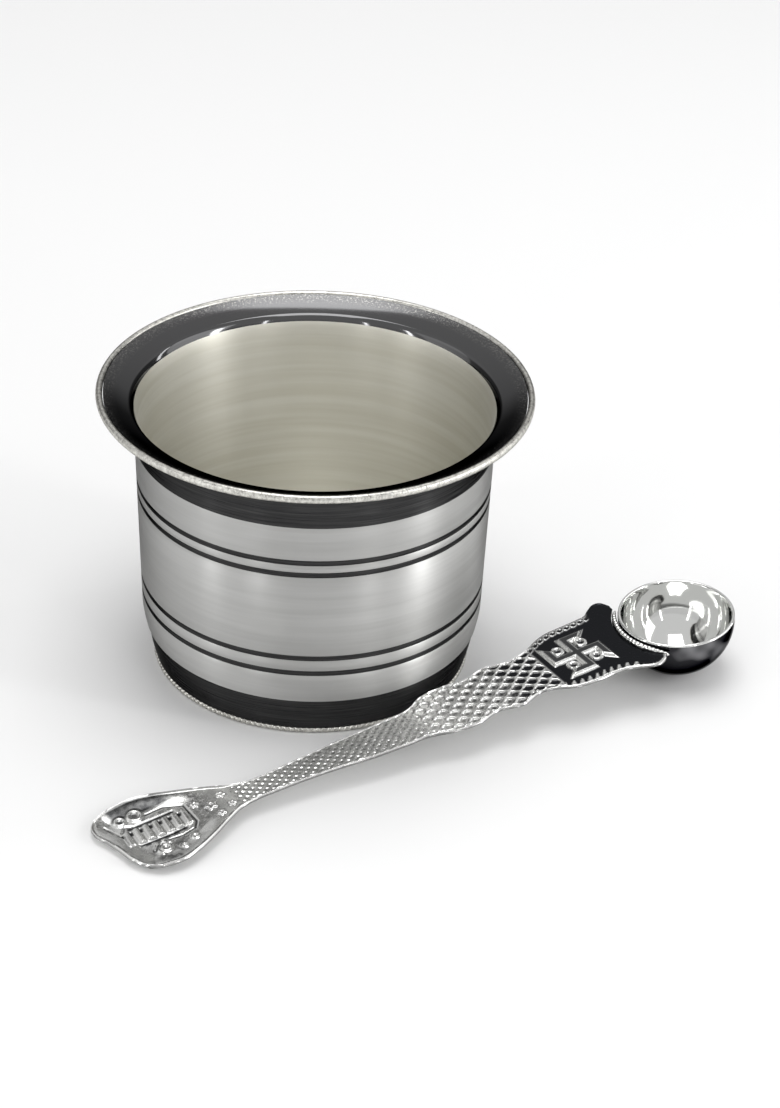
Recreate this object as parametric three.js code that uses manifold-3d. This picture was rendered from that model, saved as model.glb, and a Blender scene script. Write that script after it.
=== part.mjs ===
// Ghee pot with its serving spoon, in silver. Millimetres, +Z up.
// The origin is the centre of the pot's flat underside. The pot stands on z = 0, and the
// spoon lies in front of it on the same level, resting on its bowl and on the end of its hood.
import * as THREE from 'three';
import { mergeVertices } from 'three/addons/utils/BufferGeometryUtils.js';
import Module from 'manifold-3d';

// Pot, overall
const RIM_RADIUS = 38; // outside of the reeded wire round the lip
const POT_HEIGHT = 53;
const SHEET = 0.7; // thickness of the spun sheet
const SEAM = 0.1; // solder gap between pieces of the pot
const POT_SIDES = 72;

// Wall: radii of its outer face, from its lower edge to the lip
const WALL_BOTTOM = 7.6; // height of the wall's lower edge
const WALL_EDGE_RADIUS = 29.9;
const WALL_FOOT_RADIUS = 30.5; // where the rounded foot of the wall meets its straight side
const WALL_FOOT_HEIGHT = 12;
const NECK_RADIUS = 31.5; // where the straight side ends and the flare begins
const NECK_HEIGHT = 45.6;
const LIP_START_RADIUS = 32.9; // where the flare has turned into the lip's slope
const LIP_DROP = 1.7; // how far the lip falls from its outer edge to the flare
const FLARE_STEPS = 5;

// Bright-cut lines: heights of their middles on the wall
const LINE_HEIGHTS = [13.8, 16.9, 33.9, 36.3];
const LINE_WIDTH = 1;
const LINE_DEPTH = 0.15;

// Wire round the lip
const BEAD_WIDTH = 1.2;
const BEAD_HEIGHT = 1.4;
const BEAD_SIDES = 10;

// Base cup: its outer face below the seam bulges a little on its way down
const CUP_SHEET = 0.8;
const CUP_STEP = 0.35; // how far the cup's face lies behind the wall's
const CUP_LAP = 3; // how far the cup's neck reaches up inside the wall
const CUP_NECK_TIP = 0.25; // thickness that the neck is filed down to at its top
const CUP_FOOT_RADIUS = 28.3;
const CUP_FOOT_HEIGHT = 1.1;
const CUP_BULGE = 0.15;
const CUP_STEPS = 4;
const FLOOR_FILLET = 2.2; // inside corner between the cup's floor and its side

// Beaded wire round the foot
const FOOT_WIRE = 0.8;
const FOOT_PROUD = 0.2; // how far the wire stands out from the cup's face
const FOOT_RISE = 0.9;

// Spoon bowl
const BOWL_RADIUS = 10.5;
const BOWL_WALL = 0.6;
const BOWL_STRAIGHT = 1; // upright part of the bowl above its half sphere
const BOWL_SIDES = 40;
const BOWL_STEPS = 10;
const BOWL_CENTRE = new THREE.Vector2(65.4, -5); // seen from above, beside the pot
const SPOON_AIM = 31.6; // degrees from +X, from the hood to the bowl

// Spoon handle, in the spoon's own frame: x from the bowl's middle towards the hood, and y across,
// away from the pot
const SPOON_SEAM = 0.3; // gap between bowl, collar and handle
const COLLAR_WIDTH = 0.6;
const COLLAR_HEIGHT = 2.2;
const COLLAR_RISE = 0.5; // how far the collar stands above the handle's face
const COLLAR_HALF_ANGLE = 44; // degrees either side of the handle's middle
const HANDLE_DROP = 0.9; // how far the handle's face lies below the bowl's rim
const HANDLE_THICK = 1.3;
const EDGE_THICK = 0.4; // thickness of the handle at its edges
const UNDER_MARGIN = 1; // how far the thick middle stays back from the edges, underneath
const BORDER_WIDTH = 0.8; // raised border left along the handle's edges
const FIELD_DEPTH = 0.25; // how far the struck field lies below the border
const OUTLINE_STEPS = 140;
// Edges of the handle: distance from the bowl's middle, pot's side, near side
const HANDLE_EDGES = [
  [8.4, -11.2, 8.6], [9.8, -11.9, 9.6], [11.6, -11.1, 9.8], [13.2, -10, 9.1], [15.5, -9.7, 8],
  [18.5, -9.6, 7.5], [22.5, -9.4, 7.55], [25, -8.65, 7.3], [27, -7.7, 6.75], [29, -7, 5.6],
  [32.5, -6.35, 4.6], [37, -7.3, 5.8], [41.6, -6.35, 4.75], [46, -6.9, 5.75], [51.5, -6.25, 5.2],
  [54, -4.95, 4.2], [60, -4.4, 3.8], [66, -4.25, 3.4], [72, -4.1, 2.6], [78, -3.8, 2.05],
  [84, -3.5, 1.8], [88.5, -3.9, 1.75], [91, -4.75, 2.1], [94, -6.3, 3.5], [98, -8.1, 5.7],
  [102, -9.8, 7.55], [106, -10.7, 8.6],
];
const LOBE_START = [7.8, -9.9, 7.8]; // where the lobes beside the bowl begin, in the same order
// End of the hood, from the near side round to the pot's side, with its nib
const HOOD_REACH = 115;
const HOOD_END = [
  [109.2, 8.2], [111.3, 6.8], [112.8, 4], [113.5, 0.6], [114.1, -2.2],
  [HOOD_REACH, -5.2], [114.6, -7.4], [112.8, -9.1], [109.6, -10.4],
];

// Relief struck on the handle
const RELIEF = 0.35; // height of the raised figures
const SYMBOL_CENTRE = new THREE.Vector2(21, -1.15);
const SYMBOL_ARM = 5.5; // from the middle of the symbol to the outside of an arm
const SYMBOL_BAR = 1.9;
const RIB_COUNT = 7;
const RIB_END = 4.5; // from the last rib's middle to the tip of the hood
const RIB_STEP = 1.78;
const RIB_MIDDLE = -1.55; // across the handle
const RIB_LENGTH = 3.7;
const RIB_WIDTH = 0.95;

const silver = new THREE.MeshStandardMaterial({ color: 0xb9b8b4, roughness: 0.38, metalness: 1 });
const polished = new THREE.MeshStandardMaterial({ color: 0x8d8d8d, roughness: 0.12, metalness: 1 });
const bright = new THREE.MeshStandardMaterial({ color: 0xe2e2df, roughness: 0.1, metalness: 1 });

const { Manifold, Mesh } = await (async () => {
  const wasm = await Module();
  wasm.setup();
  return wasm;
})();

// A closed three.js geometry as a solid for cutting and joining.
function solid(geometry) {
  const bare = geometry.index ? geometry.toNonIndexed() : geometry.clone();
  bare.deleteAttribute('normal');
  bare.deleteAttribute('uv');
  const merged = mergeVertices(bare, 1e-5);
  return new Manifold(new Mesh({
    numProp: 3,
    vertProperties: Float32Array.from(merged.attributes.position.array),
    triVerts: Uint32Array.from(merged.index.array),
  }));
}

function geometryOf(body) {
  const mesh = body.getMesh();
  const geometry = new THREE.BufferGeometry();
  geometry.setAttribute('position', new THREE.BufferAttribute(mesh.vertProperties, 3));
  geometry.setIndex(new THREE.BufferAttribute(mesh.triVerts, 1));
  geometry.computeVertexNormals();
  return geometry;
}

// A profile of [radius, height] points, spun about the Z axis. Off the axis it closes on itself.
function spun(profile, sides) {
  const points = profile.map(([radius, height]) => new THREE.Vector2(radius, height));
  if (points[0].x > 0) points.push(points[0].clone());
  return new THREE.LatheGeometry(points, sides).rotateX(Math.PI / 2);
}

function mix(a, b, t) {
  return a + (b - a) * t;
}

// Values of f at evenly spaced shares from 0 to 1.
function along(count, f) {
  return Array.from({ length: count + 1 }, (_, i) => f(i / count));
}

// A quarter of an ellipse from one point to another, upright at the first and level at the second.
function quarter([r0, z0], [r1, z1], count) {
  return along(count, (t) => {
    const turn = t * (Math.PI / 2);
    return [r0 + (r1 - r0) * (1 - Math.cos(turn)), z0 + (z1 - z0) * Math.sin(turn)];
  });
}

// Radius of the wall's outer face at a height on its straight side.
function wallRadius(height) {
  const t = (height - WALL_FOOT_HEIGHT) / (NECK_HEIGHT - WALL_FOOT_HEIGHT);
  return mix(WALL_FOOT_RADIUS, NECK_RADIUS, t);
}

const beadCentreRadius = RIM_RADIUS - BEAD_WIDTH / 2;
const beadCentreHeight = POT_HEIGHT - BEAD_HEIGHT / 2;
const lipEdgeRadius = RIM_RADIUS - BEAD_WIDTH - SEAM;
const lipUnder = beadCentreHeight - SHEET / 2; // underside of the lip where it meets the wire
const lipStartUnder = lipUnder - LIP_DROP;

function lineCut(height) {
  const low = height - LINE_WIDTH / 2;
  const high = height + LINE_WIDTH / 2;
  return [
    [wallRadius(low), low],
    [wallRadius(low) - LINE_DEPTH, low],
    [wallRadius(high) - LINE_DEPTH, high],
    [wallRadius(high), high],
  ];
}

function potWall() {
  const foot = along(3, (t) => [
    mix(WALL_EDGE_RADIUS, WALL_FOOT_RADIUS, Math.sin(t * (Math.PI / 2))),
    mix(WALL_BOTTOM, WALL_FOOT_HEIGHT, t),
  ]);
  const flareOutside = quarter([NECK_RADIUS, NECK_HEIGHT], [LIP_START_RADIUS, lipStartUnder], FLARE_STEPS);
  const flareInside = quarter(
    [NECK_RADIUS - SHEET, NECK_HEIGHT],
    [LIP_START_RADIUS - SHEET / 2, lipStartUnder + SHEET],
    FLARE_STEPS,
  );
  return spun([
    ...foot,
    ...LINE_HEIGHTS.flatMap(lineCut),
    ...flareOutside,
    [lipEdgeRadius, lipUnder],
    [lipEdgeRadius, lipUnder + SHEET],
    ...flareInside.reverse(),
    ...foot.reverse().map(([radius, height]) => [radius - SHEET, height]),
  ], POT_SIDES);
}

function rimBead() {
  const ring = Array.from({ length: BEAD_SIDES }, (_, i) => {
    const turn = ((i + 0.5) / BEAD_SIDES) * 2 * Math.PI;
    const stretch = 1 / Math.cos(Math.PI / BEAD_SIDES);
    return [
      beadCentreRadius + (BEAD_WIDTH / 2) * Math.cos(turn) * stretch,
      beadCentreHeight + (BEAD_HEIGHT / 2) * Math.sin(turn),
    ];
  });
  return spun(ring, POT_SIDES);
}

const cupTopRadius = WALL_EDGE_RADIUS - CUP_STEP; // the cup's face just under the wall's edge
const cupNeckRadius = WALL_EDGE_RADIUS - SHEET - SEAM; // the neck tucked inside the wall
const cupShoulder = WALL_BOTTOM - SEAM; // ledge that the wall's lower edge stands on

function cupFace(t) {
  const bulge = CUP_BULGE * Math.sin(Math.PI * t);
  return [mix(CUP_FOOT_RADIUS, cupTopRadius, t) + bulge, mix(CUP_FOOT_HEIGHT, cupShoulder, t)];
}

function baseCup() {
  const insideRadius = CUP_FOOT_RADIUS - CUP_SHEET;
  const neckTop = WALL_BOTTOM + CUP_LAP;
  const corner = quarter([insideRadius, CUP_SHEET + FLOOR_FILLET], [insideRadius - FLOOR_FILLET, CUP_SHEET], 3);
  return spun([
    [0, 0],
    [CUP_FOOT_RADIUS - FOOT_WIRE, 0],
    [CUP_FOOT_RADIUS - FOOT_WIRE, CUP_FOOT_HEIGHT],
    ...along(CUP_STEPS, cupFace),
    [cupNeckRadius, cupShoulder],
    [cupNeckRadius, neckTop],
    [cupNeckRadius - CUP_NECK_TIP, neckTop],
    [cupNeckRadius - CUP_SHEET, WALL_BOTTOM],
    ...corner,
    [0, CUP_SHEET],
  ], POT_SIDES);
}

function footRing() {
  const inside = CUP_FOOT_RADIUS - FOOT_WIRE + SEAM;
  const outside = CUP_FOOT_RADIUS + FOOT_PROUD;
  return spun([
    [inside, 0],
    [outside - FOOT_WIRE / 4, 0],
    [outside, FOOT_RISE / 3],
    [outside, (2 * FOOT_RISE) / 3],
    [outside - FOOT_WIRE / 4, FOOT_RISE],
    [inside, FOOT_RISE],
  ], POT_SIDES);
}

// The bowl in the spoon's frame: its rim lies in the plane z = 0 and its axis is z.
function spoonBowl() {
  const inside = BOWL_RADIUS - BOWL_WALL;
  const cap = (radius) => along(BOWL_STEPS, (t) => {
    const turn = t * (Math.PI / 2);
    return [radius * Math.sin(turn), -BOWL_STRAIGHT - radius * Math.cos(turn)];
  });
  return spun([...cap(BOWL_RADIUS), [BOWL_RADIUS, 0], [inside, 0], ...cap(inside).reverse()], BOWL_SIDES);
}

const collarInside = BOWL_RADIUS + SPOON_SEAM;
const collarOutside = collarInside + COLLAR_WIDTH;

function spoonCollar() {
  const half = THREE.MathUtils.degToRad(COLLAR_HALF_ANGLE);
  const shape = new THREE.Shape();
  shape.absarc(0, 0, collarOutside, -half, half, false);
  shape.absarc(0, 0, collarInside, half, -half, true);
  const strip = new THREE.ExtrudeGeometry(shape, { depth: COLLAR_HEIGHT, bevelEnabled: false, curveSegments: 18 });
  return strip.translate(0, 0, COLLAR_RISE - HANDLE_DROP - COLLAR_HEIGHT);
}

// The handle's outline seen from above, drawn in by a margin along its edges.
function handleOutline(margin) {
  const rows = [LOBE_START, ...HANDLE_EDGES];
  const nearSide = rows.map(([x, , near]) => new THREE.Vector2(x, near - margin));
  const potSide = rows.map(([x, far]) => new THREE.Vector2(x, far + margin));
  const end = HOOD_END.map(([x, y]) => new THREE.Vector2(x - margin, y - margin * Math.sign(y)));
  const path = new THREE.SplineCurve([...nearSide, ...end, ...potSide.reverse()]);
  return new THREE.Shape(path.getSpacedPoints(OUTLINE_STEPS));
}

function slab(shape, low, high) {
  const geometry = new THREE.ExtrudeGeometry(shape, { depth: high - low, bevelEnabled: false, curveSegments: 8 });
  return solid(geometry.translate(0, 0, low));
}

function bar(x, y, length, width) {
  const shape = new THREE.Shape();
  shape.moveTo(x - length / 2, y - width / 2);
  shape.lineTo(x + length / 2, y - width / 2);
  shape.lineTo(x + length / 2, y + width / 2);
  shape.lineTo(x - length / 2, y + width / 2);
  shape.closePath();
  return shape;
}

const faceHeight = -HANDLE_DROP;
const fieldHeight = faceHeight - FIELD_DEPTH;
const edgeUnderHeight = faceHeight - EDGE_THICK;
const underHeight = faceHeight - HANDLE_THICK;

// The auspicious four-armed symbol: two crossed bars, each with a hook at either end.
function symbolRelief() {
  const figures = [];
  for (let quarter = 0; quarter < 4; quarter += 1) {
    const arm = slab(bar(SYMBOL_ARM / 2, 0, SYMBOL_ARM, SYMBOL_BAR), fieldHeight - RELIEF, fieldHeight + RELIEF);
    const hook = slab(
      bar(SYMBOL_ARM - SYMBOL_BAR / 2, SYMBOL_BAR / 4 - SYMBOL_ARM / 2, SYMBOL_BAR, SYMBOL_ARM + SYMBOL_BAR / 2),
      fieldHeight - RELIEF,
      fieldHeight + RELIEF,
    );
    figures.push(arm.add(hook).rotate([0, 0, 90 * quarter]));
  }
  const figure = figures.reduce((all, next) => all.add(next));
  return figure.translate([SYMBOL_CENTRE.x, SYMBOL_CENTRE.y, 0]);
}

function hoodRibs() {
  const ribs = Array.from({ length: RIB_COUNT }, (_, i) => slab(
    bar(HOOD_REACH - RIB_END - i * RIB_STEP, RIB_MIDDLE, RIB_WIDTH, RIB_LENGTH),
    fieldHeight - RELIEF,
    fieldHeight + RELIEF,
  ));
  return ribs.reduce((all, next) => all.add(next));
}

function spoonHandle() {
  const face = slab(handleOutline(0), edgeUnderHeight, faceHeight);
  const middle = slab(handleOutline(UNDER_MARGIN), underHeight, faceHeight);
  const field = slab(handleOutline(BORDER_WIDTH), fieldHeight, faceHeight + RELIEF);
  const figures = symbolRelief().add(hoodRibs()).intersect(slab(handleOutline(0), underHeight, faceHeight + RELIEF));
  const clearance = new THREE.CylinderGeometry(
    collarOutside + SPOON_SEAM,
    collarOutside + SPOON_SEAM,
    4 * HANDLE_THICK,
    BOWL_SIDES * 2,
  ).rotateX(Math.PI / 2).translate(0, 0, faceHeight);
  return geometryOf(face.add(middle).subtract(field).add(figures).subtract(solid(clearance)));
}

// The spoon leans so that its bowl and the lower edge of its hood both touch z = 0.
function spoonLean() {
  const down = -BOWL_STRAIGHT - underHeight;
  const reach = HOOD_REACH - UNDER_MARGIN;
  return Math.atan2(reach, down) - Math.acos(BOWL_RADIUS / Math.hypot(down, reach));
}

function place(name, geometry, material, parent) {
  const mesh = new THREE.Mesh(geometry, material);
  mesh.name = name;
  parent.add(mesh);
}

const pot = new THREE.Group();
place('pot_wall', potWall(), silver, pot);
place('rim_bead', rimBead(), polished, pot);
place('base_cup', baseCup(), polished, pot);
place('foot_ring', footRing(), bright, pot);

const lean = spoonLean();
const spoon = new THREE.Group();
place('spoon_bowl', spoonBowl(), bright, spoon);
place('spoon_collar', spoonCollar(), bright, spoon);
place('spoon_handle', spoonHandle(), bright, spoon);
spoon.rotation.set(0, lean, THREE.MathUtils.degToRad(SPOON_AIM) + Math.PI, 'ZYX');
spoon.position.set(BOWL_CENTRE.x, BOWL_CENTRE.y, BOWL_RADIUS + BOWL_STRAIGHT * Math.cos(lean));

const gheePot = new THREE.Group();
gheePot.add(pot, spoon);
export default gheePot;
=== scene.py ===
"""Looks of a silver ghee pot and its serving spoon, built around the fixed frame. Metres, +Z up.

Every piece is modelled again in fine detail where its solid stands. The spoon is drawn in its own
frame, in millimetres, and then set down: x from the bowl's middle to the hood, y across it and away
from the pot, z off its face.
"""

import math

import bpy
import numpy as np
from mathutils import Matrix, Vector


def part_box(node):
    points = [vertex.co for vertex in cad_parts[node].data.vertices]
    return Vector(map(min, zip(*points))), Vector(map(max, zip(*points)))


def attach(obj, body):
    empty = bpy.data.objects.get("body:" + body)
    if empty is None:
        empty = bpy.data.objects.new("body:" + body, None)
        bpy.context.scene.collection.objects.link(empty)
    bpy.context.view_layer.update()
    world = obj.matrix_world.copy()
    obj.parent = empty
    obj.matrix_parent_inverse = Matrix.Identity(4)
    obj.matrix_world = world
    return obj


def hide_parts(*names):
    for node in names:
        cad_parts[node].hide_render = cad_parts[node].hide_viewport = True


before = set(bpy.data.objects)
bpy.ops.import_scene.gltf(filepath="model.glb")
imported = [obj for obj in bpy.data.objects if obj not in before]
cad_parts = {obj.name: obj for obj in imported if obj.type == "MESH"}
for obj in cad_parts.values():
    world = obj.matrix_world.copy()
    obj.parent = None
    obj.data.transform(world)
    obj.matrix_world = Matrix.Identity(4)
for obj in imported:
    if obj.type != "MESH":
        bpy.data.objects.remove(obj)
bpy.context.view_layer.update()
MM = 0.001

# Sizes read from the frame
WALL_LOW, WALL_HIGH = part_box("pot_wall")
BEAD_LOW, BEAD_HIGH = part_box("rim_bead")
RIM_RADIUS = BEAD_HIGH.x
BEAD_HEIGHT = BEAD_HIGH.z - BEAD_LOW.z
LIP_EDGE = WALL_HIGH.x
SEAM_HEIGHT = WALL_LOW.z

# The pot's wall, as in its solid
SHEET = 0.7 * MM
WALL_EDGE_RADIUS = 29.9 * MM
WALL_FOOT_RADIUS = 30.5 * MM
WALL_FOOT_HEIGHT = 12 * MM
NECK_RADIUS = 31.5 * MM
NECK_HEIGHT = 45.6 * MM
LIP_START_RADIUS = 32.9 * MM
LIP_DROP = 1.7 * MM
LINE_HEIGHTS = [13.8 * MM, 16.9 * MM, 33.9 * MM, 36.3 * MM]
LINE_WIDTH = 1 * MM
LINE_DEPTH = 0.15 * MM
NECK_BAND_LOW = 43.2 * MM  # the polished band under the lip begins here
LIP_POLISH_TURNS = 6  # steps of the flare's inside, from the lip down, that are polished

# Wires, base cup and foot
BEAD_WIDTH = 1.2 * MM
BEAD_REEDS = 480
REED_DEPTH = 0.05 * MM
CUP_SHEET = 0.8 * MM
CUP_STEP = 0.35 * MM
CUP_LAP = 3 * MM
CUP_NECK_TIP = 0.25 * MM
CUP_FOOT_RADIUS = 28.3 * MM
CUP_FOOT_HEIGHT = 1.1 * MM
CUP_BULGE = 0.15 * MM
FLOOR_FILLET = 2.2 * MM
SEAM = 0.1 * MM
FOOT_WIRE = 0.8 * MM
FOOT_PROUD = 0.2 * MM
FOOT_RISE = 0.9 * MM
FOOT_BEADS = 176
FOOT_BEAD_DEPTH = 0.28 * MM

# Spoon: its place, and its bowl
SPOON_AIM = math.radians(31.6)
BOWL_CENTRE = Vector((65.4, -5)) * MM
BOWL_RADIUS = 10.5
BOWL_WALL = 0.6
BOWL_STRAIGHT = 1.0

# Spoon's collar and handle
COLLAR_INSIDE = 10.62
COLLAR_OUTSIDE = 11.6
COLLAR_TOP = -0.35
COLLAR_HEIGHT = 2.0
COLLAR_HALF_ANGLE = math.radians(47)
HANDLE_CUT = 11.65  # radius round the bowl's axis where the handle begins
HANDLE_DROP = 0.9
HANDLE_THICK = 1.3
EDGE_THICK = 0.4
UNDER_MARGIN = 1.0
FIELD_DEPTH = 0.25
HOOD_REACH = 115.0
# Edges of the handle: distance from the bowl's middle, pot's side, near side
HANDLE_EDGES = [
    (7.8, -9.9, 7.8), (8.4, -11.2, 8.6), (9.8, -11.9, 9.6), (11.6, -11.1, 9.8), (13.2, -10, 9.1),
    (15.5, -9.7, 8), (18.5, -9.6, 7.5), (22.5, -9.4, 7.55), (25, -8.65, 7.3), (27, -7.7, 6.75),
    (29, -7, 5.6), (32.5, -6.35, 4.6), (37, -7.3, 5.8), (41.6, -6.35, 4.75), (46, -6.9, 5.75),
    (51.5, -6.25, 5.2), (54, -4.95, 4.2), (60, -4.4, 3.8), (66, -4.25, 3.4), (72, -4.1, 2.6),
    (78, -3.8, 2.05), (84, -3.5, 1.8), (88.5, -3.9, 1.75), (91, -4.75, 2.1), (94, -6.3, 3.5),
    (98, -8.1, 5.7), (102, -9.8, 7.55), (106, -10.7, 8.6), (109.5, -10.4, 8.1), (116, -10.4, 8.1),
]
# End of the hood: place across it, from the pot's side at -1 to the near side at 1, and distance
HOOD_END = [
    (-1, 109.8), (-0.86, 112.9), (-0.67, 114.6), (-0.44, HOOD_REACH), (-0.12, 114.1), (0.18, 113.5),
    (0.55, 112.8), (0.85, 111.3), (1, 109.4),
]

# Camera, from the photograph's perspective
CAMERA_PLACE = Vector((0, -445.46, 291.38)) * MM
CAMERA_YAW = math.radians(1.779)
CAMERA_PITCH = math.radians(31.388)
CAMERA_ROLL = math.radians(2.06)
CAMERA_LENS = 94.757
SENSOR = 36.0

# Lights: name, degrees from the front towards +X, distance, low edge, high edge, width, strength
LIGHTS = [
    ("canopy", 0, -0.07, 0.45, 1.15, 0.4, 3),
    ("left_panel", -92, 0.7, 0.03, 0.6, 0.5, 0.4),
    ("left_strip", -62, 0.6, 0.01, 0.4, 0.03, 9),
    ("left_thin_strip", -32, 0.6, 0.01, 0.4, 0.02, 9),
    ("right_panel", 84, 0.7, 0.03, 0.6, 0.6, 1),
    ("right_front_strip", 34, 0.6, 0.01, 0.4, 0.02, 9),
    ("right_strip", 68, 0.6, 0.01, 0.4, 0.07, 9),
    ("right_back_strip", 114, 0.6, 0.02, 0.4, 0.04, 5),
]


def spline(points, x):
    """A smooth curve through points, as a function of their first value."""
    px, py = (np.array(v, float) for v in zip(*points))
    slope = np.gradient(py, px)
    i = np.clip(np.searchsorted(px, x) - 1, 0, len(px) - 2)
    step = px[i + 1] - px[i]
    t = np.clip((x - px[i]) / step, 0, 1)
    return (
        py[i] * (1 + 2 * t) * (1 - t) ** 2
        + slope[i] * step * t * (1 - t) ** 2
        + py[i + 1] * t * t * (3 - 2 * t)
        + slope[i + 1] * step * t * t * (t - 1)
    )


def smooth(low, high, x):
    t = np.clip((x - low) / (high - low), 0, 1)
    return t * t * (3 - 2 * t)


def quarter(start, end, count):
    """A quarter of an ellipse from start, where it is upright, to end, where it is level."""
    turns = np.linspace(0, math.pi / 2, count + 1)
    return [
        (start[0] + (end[0] - start[0]) * (1 - math.cos(a)), start[1] + (end[1] - start[1]) * math.sin(a))
        for a in turns
    ]


# Meshes

def make_object(name, verts, faces, materials, face_materials=None, angle=40):
    mesh = bpy.data.meshes.new(name)
    mesh.from_pydata(np.asarray(verts, float).tolist(), [], faces)
    for material in materials:
        mesh.materials.append(material)
    if face_materials is not None:
        mesh.polygons.foreach_set("material_index", np.asarray(face_materials, np.int32))
    mesh.shade_smooth()
    mesh.set_sharp_from_angle(angle=math.radians(angle))
    mesh.update()
    made = bpy.data.objects.new(name, mesh)
    bpy.context.scene.collection.objects.link(made)
    return made


def lathe(name, profile, zones, materials, sides=360, ripple=None, angle=40):
    """A closed profile of (radius, height), spun about Z, with a zone number for each stretch.
    ripple(turns, index) moves the radii of one ring."""
    count = len(profile)
    turns = np.linspace(0, 2 * math.pi, sides, endpoint=False)
    verts = []
    for k, (radius, height) in enumerate(profile):
        radii = np.full(sides, radius)
        if ripple is not None:
            radii = radii + ripple(turns, k)
        verts += list(zip(radii * np.cos(turns), radii * np.sin(turns), np.full(sides, height)))
    faces, face_zones = [], []
    for k in range(count):
        n = (k + 1) % count
        if profile[k][0] == 0 and profile[n][0] == 0:
            continue
        for s in range(sides):
            t = (s + 1) % sides
            a, b, c, d = k * sides + s, k * sides + t, n * sides + t, n * sides + s
            if profile[k][0] == 0:
                faces.append((k * sides, c, d))
            elif profile[n][0] == 0:
                faces.append((a, b, n * sides))
            else:
                faces.append((a, b, c, d))
            face_zones.append(zones[k])
    used = sorted({v for f in faces for v in f})
    place = {v: i for i, v in enumerate(used)}
    faces = [tuple(place[v] for v in f) for f in faces]
    return make_object(name, [verts[v] for v in used], faces, materials, face_zones, angle)


# Materials

def new_material(name, colour, roughness, metallic=1.0, edge=None):
    """edge darkens a metal where it is seen at a grazing angle."""
    material = bpy.data.materials.new(name)
    material.use_nodes = True
    shader = material.node_tree.nodes["Principled BSDF"]
    shader.inputs["Base Color"].default_value = (*colour, 1)
    shader.inputs["Roughness"].default_value = roughness
    shader.inputs["Metallic"].default_value = metallic
    if edge is not None:
        shader.inputs["Specular Tint"].default_value = (edge, edge, edge, 1)
    return material, material.node_tree.nodes, material.node_tree.links, shader


def node(nodes, kind, **values):
    made = nodes.new(kind)
    for key, value in values.items():
        if key in made.inputs:
            made.inputs[key].default_value = value
        else:
            setattr(made, key, value)
    return made


def noise(nodes, links, scale, detail=3.0, stretch=(1, 1, 1)):
    """Noise in the object's own space, drawn out by a stretch."""
    where = node(nodes, "ShaderNodeTexCoord")
    mapping = node(nodes, "ShaderNodeMapping", Scale=stretch)
    links.new(where.outputs["Object"], mapping.inputs["Vector"])
    made = node(nodes, "ShaderNodeTexNoise", Scale=scale, Detail=detail, Roughness=0.65)
    links.new(mapping.outputs["Vector"], made.inputs["Vector"])
    return made.outputs["Fac"]


def ramp(nodes, links, source, low, high, value_low, value_high):
    made = node(nodes, "ShaderNodeMapRange")
    made.inputs["From Min"].default_value = low
    made.inputs["From Max"].default_value = high
    made.inputs["To Min"].default_value = value_low
    made.inputs["To Max"].default_value = value_high
    links.new(source, made.inputs["Value"])
    return made.outputs["Result"]


def times(nodes, links, a, b):
    made = node(nodes, "ShaderNodeMath", operation="MULTIPLY")
    links.new(a, made.inputs[0])
    links.new(b, made.inputs[1])
    return made.outputs["Value"]


def tint(nodes, links, factor, dark, light):
    made = node(nodes, "ShaderNodeMix", data_type="RGBA")
    made.inputs["A"].default_value = (*dark, 1)
    made.inputs["B"].default_value = (*light, 1)
    links.new(factor, made.inputs["Factor"])
    return made.outputs["Result"]


def bump(nodes, links, shader, height, strength, distance):
    made = node(nodes, "ShaderNodeBump", Strength=strength, Distance=distance)
    links.new(height, made.inputs["Height"])
    links.new(made.outputs["Normal"], shader.inputs["Normal"])


def round_grain(nodes, links, shader, strength):
    """Brushing that runs round the lathe draws every highlight out up and down."""
    tangent = node(nodes, "ShaderNodeTangent", direction_type="RADIAL", axis="Z")
    links.new(tangent.outputs["Tangent"], shader.inputs["Tangent"])
    shader.inputs["Anisotropic"].default_value = strength
    shader.inputs["Anisotropic Rotation"].default_value = 0.25


def satin_material():
    material, nodes, links, shader = new_material("satin_silver", (0.5, 0.5, 0.49), 0.42, edge=0.2)
    lines = noise(nodes, links, 1, 4, (60, 60, 3500))
    broad = noise(nodes, links, 1, 2, (25, 25, 500))
    shade = ramp(nodes, links, broad, 0.35, 0.65, 0, 1)
    links.new(tint(nodes, links, shade, (0.5, 0.5, 0.49), (0.56, 0.56, 0.55)), shader.inputs["Base Color"])
    links.new(ramp(nodes, links, lines, 0.3, 0.7, 0.4, 0.5), shader.inputs["Roughness"])
    round_grain(nodes, links, shader, 0.85)
    bump(nodes, links, shader, lines, 0.2, 0.00002)
    return material


def inside_material():
    material, nodes, links, shader = new_material("warm_matt_silver", (0.8, 0.79, 0.72), 0.5, edge=0.6)
    lines = noise(nodes, links, 1, 4, (40, 40, 3000))
    broad = noise(nodes, links, 1, 2, (20, 20, 500))
    shade = ramp(nodes, links, broad, 0.35, 0.65, 0, 1)
    colour = tint(nodes, links, shade, (0.78, 0.765, 0.69), (0.85, 0.84, 0.775))
    links.new(colour, shader.inputs["Base Color"])
    links.new(ramp(nodes, links, lines, 0.3, 0.7, 0.46, 0.56), shader.inputs["Roughness"])
    round_grain(nodes, links, shader, 0.8)
    bump(nodes, links, shader, lines, 0.2, 0.00002)
    return material


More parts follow.
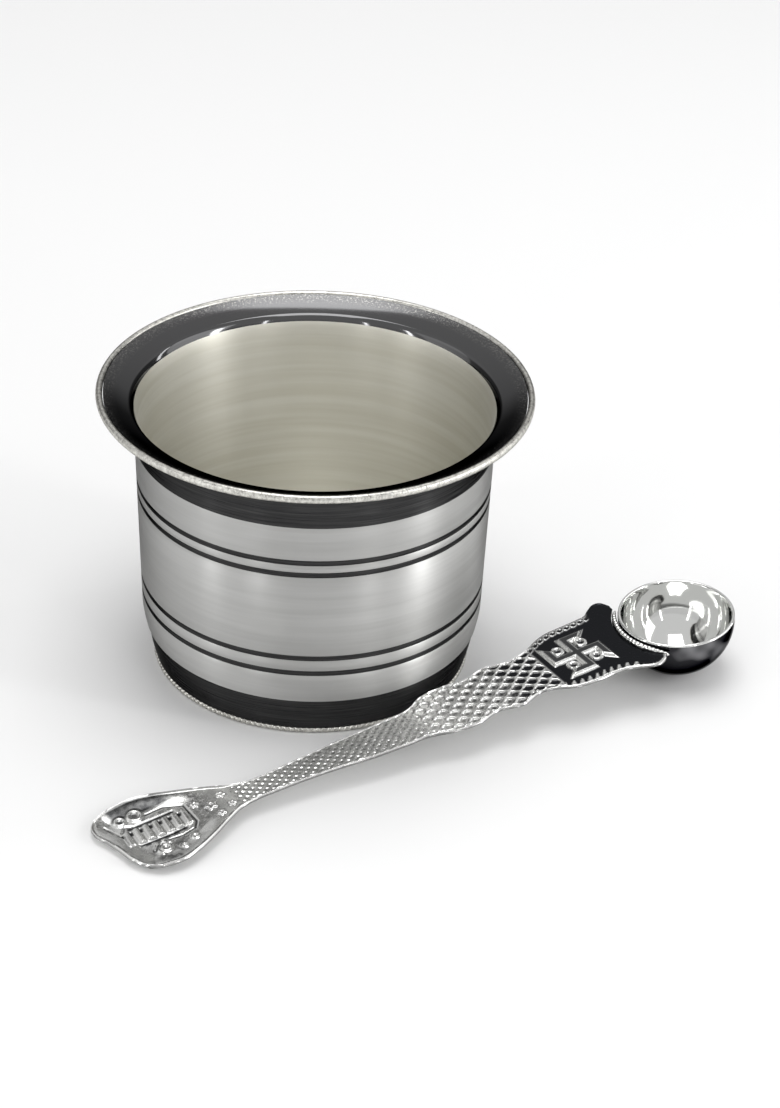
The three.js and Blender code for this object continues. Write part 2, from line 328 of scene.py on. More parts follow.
def polished_material():
    """Polished silver whose base colour is painted dark, a painted dark reflection, with the finest turning
    marks, which draw the lights out into upright streaks.
    """
    # Painted dark reflection: these base colours are far darker than the silver's own and stand for dark
    # surroundings in the polish.
    material, nodes, links, shader = new_material("polished_silver", (0.06, 0.06, 0.062), 0.3, edge=0.3)
    lines = noise(nodes, links, 1, 4, (80, 80, 5000))
    shade = ramp(nodes, links, lines, 0.35, 0.65, 0, 1)
    colour = tint(nodes, links, shade, (0.03, 0.03, 0.031), (0.065, 0.065, 0.065))
    links.new(colour, shader.inputs["Base Color"])
    links.new(ramp(nodes, links, lines, 0.3, 0.75, 0.26, 0.34), shader.inputs["Roughness"])
    round_grain(nodes, links, shader, 0.95)
    bump(nodes, links, shader, lines, 0.04, 0.00001)
    return material


def lip_material():
    """Polished silver whose base colour is painted dark, a painted dark reflection, with pale sand-like
    grain that thickens towards the lip's edge.
    """
    # dark is a painted dark reflection, not the silver's own colour.
    dark = (0.13, 0.13, 0.132)
    material, nodes, links, shader = new_material("polished_lip", dark, 0.1, edge=0.1)
    where = node(nodes, "ShaderNodeTexCoord")
    flat = node(nodes, "ShaderNodeVectorMath", operation="MULTIPLY")
    flat.inputs[1].default_value = (1, 1, 0)
    links.new(where.outputs["Object"], flat.inputs[0])
    radius = node(nodes, "ShaderNodeVectorMath", operation="LENGTH")
    links.new(flat.outputs["Vector"], radius.inputs[0])
    edge = ramp(nodes, links, radius.outputs["Value"], LIP_EDGE - 2.2 * MM, LIP_EDGE + 0.6 * MM, 0, 1)
    speck = ramp(nodes, links, noise(nodes, links, 3200, 2), 0.52, 0.66, 0, 1)
    amount = times(nodes, links, edge, speck)
    links.new(tint(nodes, links, amount, dark, (0.42, 0.41, 0.39)), shader.inputs["Base Color"])
    links.new(ramp(nodes, links, edge, 0, 1, 0.08, 0.3), shader.inputs["Roughness"])
    bump(nodes, links, shader, amount, 0.25, 0.00003)
    return material


def wire_material():
    material, nodes, links, shader = new_material("reeded_wire", (0.5, 0.49, 0.46), 0.3, edge=0.4)
    grain = noise(nodes, links, 1400, 3)
    shade = ramp(nodes, links, grain, 0.4, 0.6, 0, 1)
    links.new(tint(nodes, links, shade, (0.5, 0.49, 0.46), (0.76, 0.75, 0.7)), shader.inputs["Base Color"])
    links.new(ramp(nodes, links, grain, 0.3, 0.7, 0.25, 0.4), shader.inputs["Roughness"])
    return material


def mirror_material():
    material, nodes, links, shader = new_material("mirror_silver", (0.86, 0.865, 0.85), 0.06, edge=0.8)
    grain = noise(nodes, links, 260, 4)
    links.new(ramp(nodes, links, grain, 0.3, 0.7, 0.04, 0.1), shader.inputs["Roughness"])
    bump(nodes, links, shader, grain, 0.04, 0.0002)
    return material


def bowl_outside_material():
    # Painted reflections: the dark base stands for dark surroundings in the polish, and the pale clouds laid
    # over it below stand for bright ones.
    material, nodes, links, shader = new_material("polish_painted_reflection", (0.05, 0.05, 0.055), 0.1, edge=0.3)
    shade = ramp(nodes, links, noise(nodes, links, 90, 2), 0.52, 0.66, 0, 1)
    links.new(tint(nodes, links, shade, (0.03, 0.03, 0.033), (0.3, 0.3, 0.31)), shader.inputs["Base Color"])
    grain = noise(nodes, links, 400, 3)
    links.new(ramp(nodes, links, grain, 0.3, 0.7, 0.06, 0.16), shader.inputs["Roughness"])
    return material


def struck_material():
    """Bright struck silver, darkened by a value that the mesh carries: dark in its hollows, with painted
    shade along the edges and painted dark reflections on the panel, the symbol's tops and the hood.
    """
    material, nodes, links, shader = new_material("struck_silver", (0.82, 0.82, 0.8), 0.2, edge=0.6)
    hollows_painted_shade_and_reflection = node(nodes, "ShaderNodeAttribute", attribute_name="hollows_painted_shade_and_reflection")
    grain = noise(nodes, links, 1500, 3)
    cloud = ramp(nodes, links, noise(nodes, links, 400, 3), 0.35, 0.65, 0, 1)
    blend = node(nodes, "ShaderNodeMix", data_type="RGBA")
    # The painted dark colour, laid on the hollows, the painted shade and the painted dark reflections.
    blend.inputs["B"].default_value = (0.022, 0.023, 0.026, 1)
    links.new(hollows_painted_shade_and_reflection.outputs["Fac"], blend.inputs["Factor"])
    links.new(tint(nodes, links, cloud, (0.76, 0.76, 0.75), (0.92, 0.92, 0.9)), blend.inputs["A"])
    links.new(blend.outputs["Result"], shader.inputs["Base Color"])
    links.new(ramp(nodes, links, grain, 0.3, 0.7, 0.14, 0.3), shader.inputs["Roughness"])
    bump(nodes, links, shader, grain, 0.1, 0.00006)
    return material


SATIN = satin_material()
INSIDE = inside_material()
POLISHED = polished_material()
LIP = lip_material()
WIRE = wire_material()
MIRROR = mirror_material()
BOWL_OUTSIDE = bowl_outside_material()
STRUCK = struck_material()


# Pot

def wall_radius(height):
    t = (height - WALL_FOOT_HEIGHT) / (NECK_HEIGHT - WALL_FOOT_HEIGHT)
    return WALL_FOOT_RADIUS + (NECK_RADIUS - WALL_FOOT_RADIUS) * t


def wall_foot(count):
    """The rounded foot of the wall, from its lower edge up."""
    return [
        (
            WALL_EDGE_RADIUS + (WALL_FOOT_RADIUS - WALL_EDGE_RADIUS) * math.sin(t * math.pi / 2),
            SEAM_HEIGHT + (WALL_FOOT_HEIGHT - SEAM_HEIGHT) * t,
        )
        for t in np.linspace(0, 1, count)
    ]


def line_cut(height, satin, polish):
    """A bright-cut line: a shallow groove with eased corners, as (radius, height, zone)."""
    low, high = height - LINE_WIDTH / 2, height + LINE_WIDTH / 2
    ease = LINE_DEPTH * 0.5
    return [
        (wall_radius(low), low - ease, satin),
        (wall_radius(low) - LINE_DEPTH * 0.3, low, polish),
        (wall_radius(low) - LINE_DEPTH, low + ease, polish),
        (wall_radius(high) - LINE_DEPTH, high - ease, polish),
        (wall_radius(high) - LINE_DEPTH * 0.3, high, satin),
        (wall_radius(high), high + ease, satin),
    ]


def pot_wall():
    satin, polish, lip, inside = range(4)
    lip_under = BEAD_LOW.z + BEAD_HEIGHT / 2 - SHEET / 2
    lip_start = lip_under - LIP_DROP
    flare = quarter((NECK_RADIUS, NECK_HEIGHT), (LIP_START_RADIUS, lip_start), 14)
    flare_inside = quarter(
        (NECK_RADIUS - SHEET, NECK_HEIGHT), (LIP_START_RADIUS - SHEET / 2, lip_start + SHEET), 14
    )
    points = [(r, z, satin) for r, z in wall_foot(9)]
    for height in LINE_HEIGHTS:
        points += line_cut(height, satin, polish)
    points.append((wall_radius(NECK_BAND_LOW), NECK_BAND_LOW, polish))
    points += [(r, z, polish) for r, z in flare]
    points += [(LIP_EDGE, lip_under, polish), (LIP_EDGE, lip_under + SHEET, lip)]
    for k, (r, z) in enumerate(reversed(flare_inside)):
        points.append((r, z, lip if k < LIP_POLISH_TURNS else inside))
    points += [(r - SHEET, z, inside) for r, z in reversed(wall_foot(7))]
    profile = [(r, z) for r, z, _ in points]
    made = lathe("pot_wall_skin", profile, [zone for *_, zone in points], [SATIN, POLISHED, LIP, INSIDE])
    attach(made, "pot")
    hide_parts("pot_wall")


def rim_bead():
    """The wire round the lip, finely reeded on its outer side."""
    steps = 16
    middle = BEAD_LOW.z + BEAD_HEIGHT / 2
    turns = [2 * math.pi * k / steps for k in range(steps)]
    ring = [
        (RIM_RADIUS - BEAD_WIDTH / 2 * (1 - math.cos(a)), middle + BEAD_HEIGHT / 2 * math.sin(a))
        for a in turns
    ]

    def ripple(round_turns, k):
        outward = max(0.0, math.cos(turns[k]))
        return -REED_DEPTH * outward * (0.5 - 0.5 * np.cos(BEAD_REEDS * round_turns))

    made = lathe("rim_bead_wire", ring, [0] * steps, [WIRE], sides=BEAD_REEDS * 6, ripple=ripple, angle=80)
    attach(made, "pot")
    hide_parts("rim_bead")


def base_cup():
    top_radius = WALL_EDGE_RADIUS - CUP_STEP
    neck_radius = WALL_EDGE_RADIUS - SHEET - SEAM
    shoulder = SEAM_HEIGHT - SEAM
    neck_top = SEAM_HEIGHT + CUP_LAP
    inside_radius = CUP_FOOT_RADIUS - CUP_SHEET
    polish, inside = 0, 1
    points = [
        (0, 0, polish),
        (CUP_FOOT_RADIUS - FOOT_WIRE, 0, polish),
        (CUP_FOOT_RADIUS - FOOT_WIRE, CUP_FOOT_HEIGHT, polish),
    ]
    for t in np.linspace(0, 1, 13):
        radius = CUP_FOOT_RADIUS + (top_radius - CUP_FOOT_RADIUS) * t + CUP_BULGE * math.sin(math.pi * t)
        points.append((radius, CUP_FOOT_HEIGHT + (shoulder - CUP_FOOT_HEIGHT) * t, polish))
    points += [
        (neck_radius, shoulder, polish),
        (neck_radius, neck_top, inside),
        (neck_radius - CUP_NECK_TIP, neck_top, inside),
        (neck_radius - CUP_SHEET, SEAM_HEIGHT, inside),
    ]
    corner = quarter((inside_radius, CUP_SHEET + FLOOR_FILLET), (inside_radius - FLOOR_FILLET, CUP_SHEET), 8)
    points += [(r, z, inside) for r, z in corner]
    points.append((0, CUP_SHEET, inside))
    profile = [(r, z) for r, z, _ in points]
    made = lathe("base_cup_shell", profile, [zone for *_, zone in points], [POLISHED, INSIDE])
    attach(made, "pot")
    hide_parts("base_cup")


def foot_ring():
    """A fine beaded wire: its outer side swells once for each bead."""
    inside = CUP_FOOT_RADIUS - FOOT_WIRE + SEAM
    outside = CUP_FOOT_RADIUS + FOOT_PROUD
    half = FOOT_RISE / 2
    turns = np.linspace(0, math.pi, 11)
    arc = [(outside - half + half * math.sin(a), half - half * math.cos(a)) for a in turns]
    ring = [(inside, 0)] + arc + [(inside, FOOT_RISE)]

    def ripple(round_turns, k):
        if k in (0, len(ring) - 1):
            return np.zeros_like(round_turns)
        return -FOOT_BEAD_DEPTH * (1 - np.abs(np.cos(FOOT_BEADS * round_turns / 2))) * math.sin(turns[k - 1])

    sides = FOOT_BEADS * 10
    made = lathe("foot_bead_wire", ring, [0] * len(ring), [WIRE], sides, ripple, angle=80)
    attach(made, "pot")
    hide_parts("foot_ring")


# Spoon

def spoon_matrix():
    """Sets the spoon down so that its bowl and the thick of its hood touch the floor."""
    down = HANDLE_DROP + HANDLE_THICK - BOWL_STRAIGHT
    reach = HOOD_REACH - UNDER_MARGIN
    lean = math.atan2(reach, down) - math.acos(BOWL_RADIUS / math.hypot(down, reach))
    place = (BOWL_CENTRE.x, BOWL_CENTRE.y, (BOWL_RADIUS + BOWL_STRAIGHT * math.cos(lean)) * MM)
    turn = Matrix.Rotation(SPOON_AIM + math.pi, 4, "Z") @ Matrix.Rotation(lean, 4, "Y")
    return Matrix.Translation(place) @ turn @ Matrix.Scale(MM, 4)


SPOON = spoon_matrix()


def set_spoon(made, node_name):
    made.data.transform(SPOON)
    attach(made, "spoon")
    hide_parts(node_name)


def spoon_bowl():
    outside_zone, inside_zone = 0, 1
    inside = BOWL_RADIUS - BOWL_WALL
    half = BOWL_WALL / 2
    outer = [
        (BOWL_RADIUS * math.sin(a), -BOWL_STRAIGHT - BOWL_RADIUS * math.cos(a))
        for a in np.linspace(0, math.pi / 2, 41)
    ]
    lip = [
        (BOWL_RADIUS - half + half * math.cos(a), -half + half * math.sin(a))
        for a in np.linspace(0, math.pi, 9)
    ]
    inner = [
        (inside * math.sin(a), -BOWL_STRAIGHT - inside * math.cos(a))
        for a in np.linspace(math.pi / 2, 0, 41)
    ]
    outer[0] = (0, outer[0][1])
    inner[-1] = (0, inner[-1][1])
    profile = outer + lip + inner
    zones = [outside_zone] * len(outer) + [inside_zone] * (len(lip) + len(inner))
    made = lathe("spoon_bowl_cup", profile, zones, [BOWL_OUTSIDE, MIRROR], sides=192)
    set_spoon(made, "spoon_bowl")


def spoon_collar():
    """The bright crescent strip between the bowl and the handle, crimped into small lumps."""
    along, around, lumps = 260, 20, 22
    middle = (COLLAR_INSIDE + COLLAR_OUTSIDE) / 2
    verts, faces = [], []
    for turn in np.linspace(-COLLAR_HALF_ANGLE, COLLAR_HALF_ANGLE, along):
        share = turn / COLLAR_HALF_ANGLE
        slim = math.sqrt(max(0.04, 1 - share**4))
        lump = 0.12 * abs(math.sin(lumps * share * math.pi / 2))
        for k in range(around):
            a = 2 * math.pi * k / around
            x = math.copysign(abs(math.cos(a)) ** 0.7, math.cos(a))
            z = math.copysign(abs(math.sin(a)) ** 0.7, math.sin(a))
            radius = middle + (COLLAR_OUTSIDE - COLLAR_INSIDE) / 2 * x * slim
            half_height = COLLAR_HEIGHT / 2 * slim
            height = COLLAR_TOP - COLLAR_HEIGHT / 2 + half_height * z - max(0, z) * (0.15 - lump)
            verts.append((radius * math.cos(turn), radius * math.sin(turn), height))
    for i in range(along - 1):
        for k in range(around):
            n = (k + 1) % around
            faces.append((i * around + k, i * around + n, (i + 1) * around + n, (i + 1) * around + k))
    faces.append(tuple(range(around))[::-1])
    faces.append(tuple((along - 1) * around + k for k in range(around)))
    made = make_object("spoon_collar_strip", verts, faces, [MIRROR], angle=60)
    set_spoon(made, "spoon_collar")


# Relief of the handle's face, in millimetres of the spoon's frame

PANEL_END = 27.7
NEAR_RIM = 0.75
FAR_RIM = 0.35
DROP_PITCH = 1.53
DROP_FIRST = 14.95
SYMBOL_CENTRE = (21.0, -1.15)
SYMBOL_ARM = 5.5
SYMBOL_BAR = 2.2
SYMBOL_TIP = 5.2  # the hooks' mitred ends reach this far
SYMBOL_BEVEL = 0.48
SYMBOL_HEIGHT = 0.5
DOT_PLACE = 2.5
SCALE_FIRST = (28.95, -1.45)
SCALE_HALF = (1.6, 1.25)  # half of the lattice's steps along and across
RIB_LAST = 110.5
RIB_STEP = 1.78
RIB_COUNT = 7
RIB_MIDDLE = -1.55
RIB_LENGTH = 3.7
# The line that loops round the ladder of ribs
LOOP = [
    (105.7, -5.95), (101.9, -6.1), (98.9, -4.5), (98.9, 0.3), (99.9, 1.7), (102.5, 2.2), (105, 1.9),
]
# Flowers at the hood's neck: along, across and size
FLOWERS = [(95.2, -1.4, 1.25), (97.3, -3.3, 0.85), (92.6, -2.9, 0.9), (94.6, 1.3, 0.9), (92, 0.2, 0.8)]


class Face:
    """Height above the handle's face, and darkness from 0 to 1, at every place on it. The darkness holds
    hollows as well as painted shade and painted dark reflections.
    """

    def __init__(self, x, y, far, near, end):
        self.x, self.y = x, y
        self.far, self.near = far, near
        self.edge = np.minimum(np.minimum(far, near), end)
        self.height = np.zeros_like(x)
        self.dark = np.zeros_like(x)

    def lay(self, cover, height, dark):
        """Adds a height and takes over the darkness, as far as cover says."""
        self.height = self.height + cover * height
        self.dark = self.dark * (1 - cover) + dark * cover

    def blot(self, dark):
        self.dark = np.maximum(self.dark, dark)


def mottle(x, y, cell, seed):
    """Smooth seeded noise from 0 to 1, with lumps one cell across."""
    size = 64
    table = np.random.default_rng(seed).random((size, size))
    i, j = np.floor(x / cell).astype(int), np.floor(y / cell).astype(int)
    u, v = smooth(0, 1, x / cell - i), smooth(0, 1, y / cell - j)
    low = table[i % size, j % size] * (1 - u) + table[(i + 1) % size, j % size] * u
    high = table[i % size, (j + 1) % size] * (1 - u) + table[(i + 1) % size, (j + 1) % size] * u
    return low * (1 - v) + high * v


def panel(face):
    """The sunk field, smooth, with a painted dark reflection that makes it black on the panel and deeper on
    the pot's side.
    """
    rim = np.where(face.near < face.far, NEAR_RIM, FAR_RIM)
    sunk = smooth(rim - 0.15, rim + 0.15, face.edge)
    face.height -= FIELD_DEPTH * sunk
    on_panel = 1 - smooth(PANEL_END - 0.25, PANEL_END + 0.25, face.x)
    # Painted dark reflection on the panel's field, stronger on the pot's side.
    face.blot(on_panel * sunk)
    face.blot(0.55 * on_panel * (face.far < face.near))
    face.blot(on_panel * (1 - smooth(12.4, 13.4, face.x)) * (face.far < face.near))


def border(face):
    """Leaf-like drops along both edges of the panel."""
    run = smooth(12.8, 13.6, face.x) * (1 - smooth(PANEL_END - 0.6, PANEL_END + 0.2, face.x))
    # Near side: bright leaning ridges between the drops
    lean = (face.x - DROP_FIRST + 0.57 * (face.near - 1.3)) / DROP_PITCH
    away = np.abs(lean - np.round(lean))
    slim = 0.28 - 0.16 * smooth(0.9, 2.1, face.near)
    ridge = smooth(0.44 - slim, 0.52 - slim, away)
    ridge = ridge * smooth(0.6, 0.8, face.near) * (1 - smooth(1.8, 2.15, face.near))
    face.lay(ridge * run, 0.22, 0.06)
    # Pot's side: a chain of scallops
    step = (face.x - DROP_FIRST) / DROP_PITCH
    across = np.abs(step - np.round(step)) * DROP_PITCH
    hoop = np.exp(-(((np.hypot(across / 0.66, (face.far - 1.0) / 0.5) - 1) / 0.26) ** 2))
    face.lay(hoop * run * (1 - smooth(1.5, 1.8, face.far)), 0.2, 0.2)


def bar_depth(x, y, low_x, high_x, low_y, high_y):
    """How far inside a rectangle a place is."""
    return np.minimum(np.minimum(x - low_x, high_x - x), np.minimum(y - low_y, high_y - y))


def symbol(face):
    """The auspicious four-armed symbol: bevelled bars whose flat tops carry a painted dark reflection, and
    four ringed dots.
    """
    u, v = face.x - SYMBOL_CENTRE[0], face.y - SYMBOL_CENTRE[1]
    for side in (-1, 1):
        for end in (-1, 1):
            r = np.hypot(u - side * DOT_PLACE, v - end * DOT_PLACE)
            boss = 1 - smooth(1.1, 1.35, r)
            pit = 1 - smooth(0.45, 0.68, r)
            face.lay(boss, 0.3 - 0.45 * pit, 0.05 + 0.95 * pit)
    inside = np.full_like(u, -9.0)
    half = SYMBOL_BAR / 2
    for _ in range(4):
        arm = bar_depth(u, v, -half, SYMBOL_ARM, -half, half)
        mitre = (v + SYMBOL_TIP - (SYMBOL_ARM - u)) / math.sqrt(2)
        hook = np.minimum(bar_depth(u, v, SYMBOL_ARM - SYMBOL_BAR, SYMBOL_ARM, -SYMBOL_TIP, half), mitre)
        inside = np.maximum(inside, np.maximum(arm, hook))
        u, v = v, -u
    on = smooth(-0.08, 0.05, inside)
    top = smooth(SYMBOL_BEVEL + 0.05, SYMBOL_BEVEL + 0.2, inside)
    # Painted dark reflection on the bars' flat tops.
    face.lay(on, SYMBOL_HEIGHT * np.clip(inside / SYMBOL_BEVEL, 0, 1), 0.03 + 0.9 * top)


def lattice(x, y, first, half):
    """How far a place is from the middle of its diamond cell: 0 there and 1 at the cell's edges."""
    best = np.full_like(x, 9.0)
    for shift in (0, 1):
        i = np.round(((x - first[0]) / half[0] - shift) / 2) * 2 + shift
        j = np.round(((y - first[1]) / half[1] - shift) / 2) * 2 + shift
        u = np.abs(x - first[0] - i * half[0]) / half[0]
        v = np.abs(y - first[1] - j * half[1]) / half[1]
        best = np.minimum(best, (u**1.5 + v**1.5) ** (1 / 1.5))
    return best


def scales(face):
    """Snake scales: dark hollows with bright rims, paling to small pits along the shaft."""
    x, y = face.x, face.y
    wide = 1 - smooth(52.5, 55.5, x)
    lumps = mottle(x, y, 2.4, 3) - 0.5
    r = lattice(x + 0.25 * lumps, y, SCALE_FIRST, SCALE_HALF)
    hollow = 1 - smooth(0.5, 0.78, r)
    pit = 1 - smooth(0.08, 0.42, r)
    deep = 1 - smooth(35, 41, x + 3 * lumps)
    fade = 1 - 0.75 * smooth(40, 55, x)
    dark = deep * hollow + (1 - deep) * fade * (0.75 * pit + 0.16 * hollow)
    on = smooth(PANEL_END, PANEL_END + 0.5, x) * smooth(0.25, 0.6, face.edge)
    face.lay(on * wide, 0.2 - 0.3 * hollow, dark)
    dots = 1 - smooth(0.1, 0.75, lattice(x, y + 0.4, (56.0, 0.0), (0.95, 0.72)))
    grain = mottle(x, y, 0.9, 5)
    shaft = on * (1 - wide) * (1 - smooth(89.5, 91.5, x))
    face.lay(shaft, 0.12 - 0.14 * dots - 0.1 * grain, 0.5 * dots * grain + 0.12 * (1 - grain))


def groove(face, points, width, dark, depth=0.15):
    """A dark line cut along straight stretches between points."""
    near = np.full_like(face.x, 9.0)
    for (x0, y0), (x1, y1) in zip(points, points[1:]):
        length = (x1 - x0) ** 2 + (y1 - y0) ** 2
        t = np.clip(((face.x - x0) * (x1 - x0) + (face.y - y0) * (y1 - y0)) / length, 0, 1)
        near = np.minimum(near, np.hypot(face.x - x0 - t * (x1 - x0), face.y - y0 - t * (y1 - y0)))
    line = np.exp(-((near / width) ** 2))
    face.height -= depth * line
    face.blot(dark * line)


def curl(face, x, y, radius, width=0.28, pit=0.8, start=-180, sweep=360):
    """A raised round curl about a dark pit, open over the rest of its sweep."""
    u, v = face.x - x, face.y - y
    r = np.hypot(u, v)
    turn = (np.degrees(np.arctan2(v, u)) - start) % 360
    ring = np.exp(-(((r - radius) / width) ** 2)) * (turn <= sweep)
    face.lay(ring, 0.3, 0.04)
    face.blot(pit * (1 - smooth(0.35 * radius, 0.7 * radius, r)))


def hood_ground(face):
    """The hood's ground: a painted dark reflection, black on the pot's side and clouded on the near side,
    with a bright rim.
    """
    x, y = face.x, face.y
    on = smooth(90, 92, x)
    clouds = mottle(x, y, 1.1, 7) * 0.6 + mottle(x, y, 0.45, 8) * 0.4
    above = smooth(6.3, 7.2, -y) * smooth(97.5, 101.5, x + 0.4 * (y + 8)) * (1 - smooth(110.3, 111.6, x))
    face.lay(above * smooth(0.12, 0.4, face.far), 0, 0.78 + 0.22 * clouds)
    below = smooth(2.2, 3.4, y) * smooth(102, 104, x) * (1 - smooth(108, 109.5, x))
    face.blot(below * smooth(0.9, 1.6, face.edge) * (0.25 + 0.45 * smooth(0.45, 0.7, clouds)))
    face.blot(on * 0.14 * smooth(0.5, 0.7, clouds) * smooth(0.5, 0.9, face.edge))
    rim = on * (1 - smooth(0.4, 0.6, face.edge))
    face.lay(rim, 0.12, 0.04 + 0.35 * (face.far < 0.6))
    # Painted shade in a band just inside the raised rim.
    beside_rim = np.exp(-(((face.edge - 0.75) / 0.18) ** 2))
    face.blot(0.5 * beside_rim * smooth(100, 104, x) * (y > -5))


def ladder(face):
    """Seven ribs across the hood, with a dark pit between each two at their far ends."""
    x, y = face.x, face.y
    first = RIB_LAST - (RIB_COUNT - 1) * RIB_STEP
    step = (x - 0.1 * (y - RIB_MIDDLE) - first) / RIB_STEP
    from_rib = np.abs(step - np.round(step))
    on = (np.abs(y - RIB_MIDDLE) < RIB_LENGTH / 2) & (step > -0.45) & (step < RIB_COUNT - 0.55)
    ribs = 1 - smooth(0.16, 0.46, from_rib)
    face.lay(1.0 * on, 0.38 * ribs, 0.02 + 0.12 * (1 - ribs))
    pits = (1 - smooth(0.6, 1.0, np.hypot((0.5 - from_rib) / 0.24, (y + 2.85) / 0.62))) * on
    face.height -= 0.15 * pits
    face.blot(0.97 * pits)
    groove(face, [(101.2, -4.15), (109.2, -4.1)], 0.42, 1)
    groove(face, [(101.2, 0.75), (103.5, 1.0), (109.4, 0.8)], 0.5, 1)
    groove(face, LOOP, 0.2, 1)


def flower(face, x, y, size):
    r = np.hypot(face.x - x, face.y - y)
    petals = size * (0.82 + 0.18 * np.cos(5 * np.arctan2(face.y - y, face.x - x) + x))
    middle = 1 - smooth(0.15, 0.35, r / size)
    face.lay(1 - smooth(petals - 0.2, petals, r), 0.28 - 0.25 * middle, 0.05)
    face.blot(0.4 * np.exp(-(((r - petals - 0.12) / 0.14) ** 2)))
    face.blot(0.5 * middle)


def hood(face):
    """The snake's hood: its ladder of ribs, its curls, eye and flowers."""
    hood_ground(face)
    ladder(face)
    curl(face, 106.9, -6.6, 1.15)
    # Eye, with its horn
    curl(face, 109.7, -6.5, 0.85, pit=0.9)
    groove(face, [(108.6, -4.5), (109.6, -4.9), (110.6, -3.6)], 0.2, 0.7)
    # Lower scroll
    curl(face, 106.4, 3.6, 1.5, pit=0.15, start=-150, sweep=200)
    curl(face, 106.4, 3.6, 0.75, pit=0.2)
    groove(face, [(105.2, 2.35), (106.6, 2.2), (107.6, 2.8), (108.2, 3.4)], 0.2, 0.85)
    curl(face, 101.0, 3.8, 0.55, width=0.2, pit=0.6)
    curl(face, 103.6, 4.9, 0.5, width=0.2, pit=0.4)
    groove(face, [(112.6, -6.6), (111.4, -3.6), (111.0, -2.6)], 0.18, 0.6)
    for x, y, size in FLOWERS:
        flower(face, x, y, size)


def handle_grid(columns, rows):
    """Places on the handle's face, and how far each is from the two edges and the hood's end.
    Columns run from the bowl to the hood, rows across."""
    far_edge = [(x, far) for x, far, _ in HANDLE_EDGES]
    near_edge = [(x, near) for x, _, near in HANDLE_EDGES]
    v = np.linspace(-1, 1, rows)[None, :]
    share = (v + 1) / 2

    def across(x):
        return spline(far_edge, x) * (1 - share) + spline(near_edge, x) * share

    start = np.full_like(v, 9.0)
    for _ in range(40):
        start = 0.5 * start + 0.5 * np.sqrt(np.maximum(HANDLE_CUT**2 - across(start) ** 2, 7.8**2))
    u = np.linspace(0, 1, columns)[:, None]
    x = start + (spline(HOOD_END, v) - start) * u
    y = across(x)
    return x, y, y - spline(far_edge, x), spline(near_edge, x) - y, x[-1:] - x


def strip(first, second):
    """Triangles between two rows of points of different counts that run side by side."""
    faces = []
    last_i, last_j = len(first) - 1, len(second) - 1
    i = j = 0
    while i < last_i or j < last_j:
        if j == last_j or (i < last_i and (i + 1) * last_j <= (j + 1) * last_i):
            faces.append((first[i], first[i + 1], second[j]))
            i += 1
        else:
            faces.append((first[i], second[j + 1], second[j]))
            j += 1
    return faces


def grid_faces(index):
    corners = (index[:-1, :-1], index[1:, :-1], index[1:, 1:], index[:-1, 1:])
    return np.stack(corners, -1).reshape(-1, 4).tolist()


def spoon_handle():
    columns, rows, under_rows = 880, 101, 11
    face = Face(*handle_grid(columns, rows))
    for figure in (panel, border, scales, hood, symbol):
        figure(face)
    # Painted shade: a thin dark band along the face's edges, where the rounded sides turn away.
    face.blot(0.7 * (1 - smooth(0.05, 0.2, face.edge)))
    rounding = -0.3 * (1 - smooth(0, 0.3, face.edge))
    dish = -0.45 * smooth(92, 101, face.x) * smooth(0.5, 4, face.edge)
    relief = face.height * smooth(0, 0.3, face.edge)
    top = np.stack([face.x, face.y, -HANDLE_DROP + relief + rounding + dish], -1)
    pick = np.linspace(0, rows - 1, under_rows).round().astype(int)
    edge = face.edge[:, pick]
    thick = EDGE_THICK + (HANDLE_THICK - EDGE_THICK) * smooth(0, UNDER_MARGIN, edge)
    under = np.stack([face.x[:, pick], face.y[:, pick], -HANDLE_DROP - thick], -1)
    verts = np.concatenate([top.reshape(-1, 3), under.reshape(-1, 3)])
    high = np.arange(columns * rows).reshape(columns, rows)
    low = columns * rows + np.arange(columns * under_rows).reshape(columns, under_rows)
    faces = grid_faces(high)
    faces += grid_faces(low[:, ::-1])
    faces += grid_faces(np.stack([low[:, 0], high[:, 0]], 1))
    faces += grid_faces(np.stack([high[:, -1], low[:, -1]], 1))
    faces += strip(low[0], high[0])
    faces += strip(high[-1], low[-1])
    made = make_object("spoon_handle_struck", verts, faces, [STRUCK], angle=60)
    # Painted shade on the lower edges of the side walls, which face the floor.
    painted_side_shade = np.zeros_like(edge)
    painted_side_shade[:, 0] = painted_side_shade[:, -1] = 0.75
    values = np.concatenate([face.dark.reshape(-1), painted_side_shade.reshape(-1)])
    attribute = made.data.attributes.new("hollows_painted_shade_and_reflection", "FLOAT", "POINT")
    attribute.data.foreach_set("value", np.clip(values, 0, 1).astype(np.float32))
    set_spoon(made, "spoon_handle")


# Stage, light and camera

def add_floor():
    size = 4.0
    mesh = bpy.data.meshes.new("floor")
    corners = [(-size, -size, 0), (size, -size, 0), (size, size, 0), (-size, size, 0)]
    mesh.from_pydata(corners, [], [(0, 1, 2, 3)])
    material, *_ = new_material("pale_floor", (0.9, 0.9, 0.9), 0.9, 0.0)
    mesh.materials.append(material)
    floor = bpy.data.objects.new("floor", mesh)
    floor.location.z = -0.0002
    bpy.context.scene.collection.objects.link(floor)


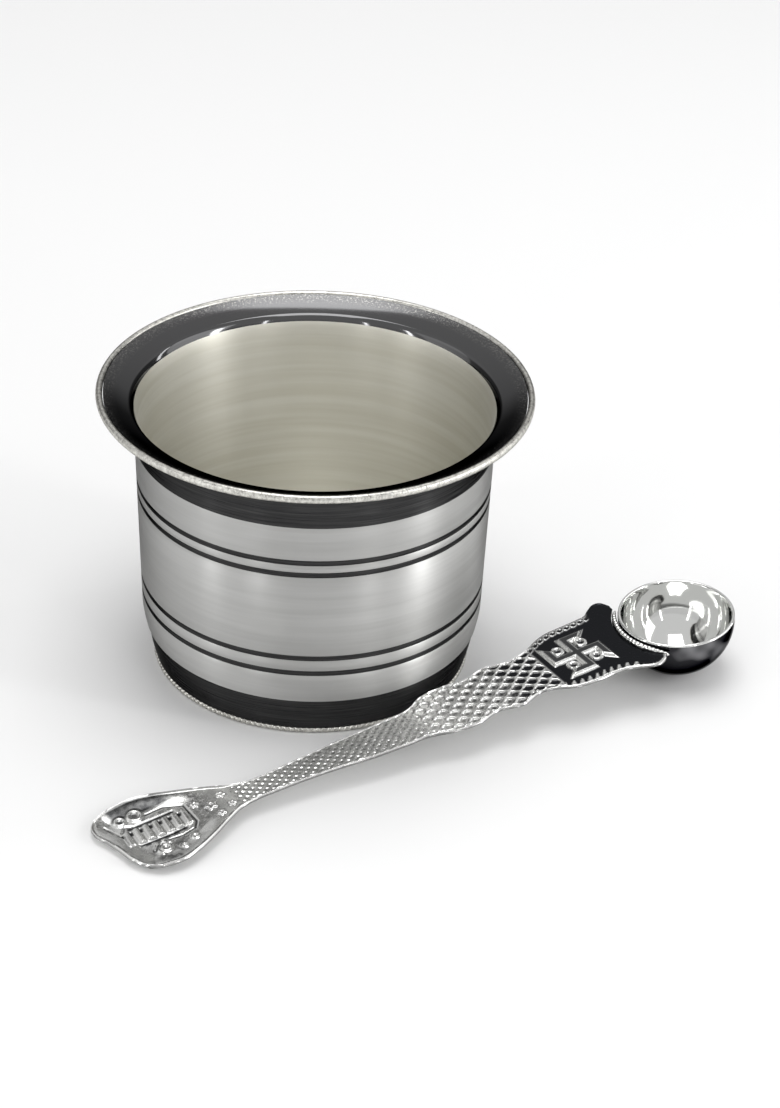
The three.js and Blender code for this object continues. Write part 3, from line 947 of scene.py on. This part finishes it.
def add_panel(name, degrees, distance, low, high, width, strength):
    """A soft rectangular light that faces the pot, placed by its direction from the front towards +X.
    strength is about how bright it looks in a mirror."""
    data = bpy.data.lights.new(name, "AREA")
    data.shape = "RECTANGLE"
    turn = math.radians(degrees)
    place = Vector((distance * math.sin(turn), -distance * math.cos(turn), (low + high) / 2))
    data.size, data.size_y = width, high - low
    data.energy = strength * math.pi * width * (high - low)
    lamp = bpy.data.objects.new(name, data)
    lamp.location = place
    lamp.rotation_euler = (Vector((0, 0, 0.03)) - place).to_track_quat("-Z", "Y").to_euler()
    bpy.context.scene.collection.objects.link(lamp)


def add_world():
    """A soft surround, darker low down behind the pot than overhead and in front."""
    world = bpy.data.worlds.new("studio")
    bpy.context.scene.world = world
    world.use_nodes = True
    nodes, links = world.node_tree.nodes, world.node_tree.links
    where = node(nodes, "ShaderNodeTexCoord")
    parts = node(nodes, "ShaderNodeSeparateXYZ")
    links.new(where.outputs["Generated"], parts.inputs["Vector"])
    front = ramp(nodes, links, parts.outputs["Y"], 0.5, -0.2, 0.15, 0.55)
    above = ramp(nodes, links, parts.outputs["Z"], 0.28, 0.45, 0, 0.62)
    level = node(nodes, "ShaderNodeMath", operation="MAXIMUM")
    links.new(front, level.inputs[0])
    links.new(above, level.inputs[1])
    links.new(level.outputs["Value"], nodes["Background"].inputs["Color"])


def add_camera():
    data = bpy.data.cameras.new("camera")
    data.sensor_width = SENSOR
    data.lens = CAMERA_LENS
    data.clip_start = 0.01
    forward = Vector((
        math.sin(CAMERA_YAW) * math.cos(CAMERA_PITCH),
        math.cos(CAMERA_YAW) * math.cos(CAMERA_PITCH),
        -math.sin(CAMERA_PITCH),
    ))
    level = Vector((math.cos(CAMERA_YAW), -math.sin(CAMERA_YAW), 0))
    upward = level.cross(forward)
    right = math.cos(CAMERA_ROLL) * level + math.sin(CAMERA_ROLL) * upward
    top = -math.sin(CAMERA_ROLL) * level + math.cos(CAMERA_ROLL) * upward
    camera = bpy.data.objects.new("camera", data)
    turn = Matrix((right, top, -forward)).transposed().to_4x4()
    camera.matrix_world = Matrix.Translation(CAMERA_PLACE) @ turn
    bpy.context.scene.collection.objects.link(camera)
    bpy.context.scene.camera = camera


add_camera()
pot_wall()
rim_bead()
base_cup()
foot_ring()
spoon_bowl()
spoon_collar()
spoon_handle()
add_floor()
add_world()
for light in LIGHTS:
    add_panel(*light)
bpy.context.scene.view_settings.view_transform = "Standard"

bpy.context.view_layer.update()
